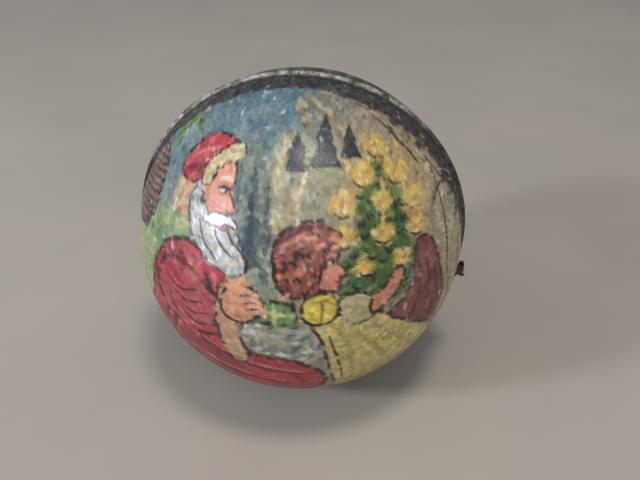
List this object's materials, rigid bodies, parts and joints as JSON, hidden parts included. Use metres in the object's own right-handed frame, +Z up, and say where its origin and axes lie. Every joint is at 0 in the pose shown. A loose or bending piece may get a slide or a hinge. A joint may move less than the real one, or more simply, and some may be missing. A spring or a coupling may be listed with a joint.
{
  "type": "ball tin",
  "caption": "Ball-shaped lithographed tin in two hinged half shells with a rolled rim bead, an inner neck, a small side hinge and a flat stamped foot.",
  "frame": {"origin": "bottom centre of the overall box, on the plane of the flat foot; the ball's own axis stands at x = -0.6 mm, because the bent end of the hinge wire stands out on the +X side", "axes": "+Z up, the lid with the picture faces -Y, the hinge is on the +X side, the seam lies in a plane normal to Y"},
  "size_m": [0.0832, 0.08, 0.0797],
  "materials": {
    "back_shell": "glossy lithographed tinplate, worn",
    "rim_bead": "dark lithographed bead worn to bare tin",
    "neck_ring": "bare tinplate, lightly tarnished",
    "back_hinge_leaf": "darkened tinplate",
    "hinge_pin": "darkened wire",
    "front_shell": "glossy lithographed tinplate with a coloured picture, worn",
    "lid_hinge_leaf": "darkened tinplate",
    "catch_lip": "darkened tinplate"
  },
  "bodies": {
    "back_half": {"back_shell": "back_shell", "rim_bead": "rim_bead", "neck_ring": "neck_ring", "back_hinge_leaf": "back_hinge_leaf", "hinge_pin": "hinge_pin"},
    "lid": {"front_shell": "front_shell", "lid_hinge_leaf": "lid_hinge_leaf", "catch_lip": "catch_lip"}
  },
  "joints": [
    {"name": "lid_hinge", "type": "hinge", "parent": "back_half", "child": "lid", "pos_m": [0.0406, 0, 0.02873], "axis": [0, 0, 1], "range_deg": [0, 150]}
  ]
}
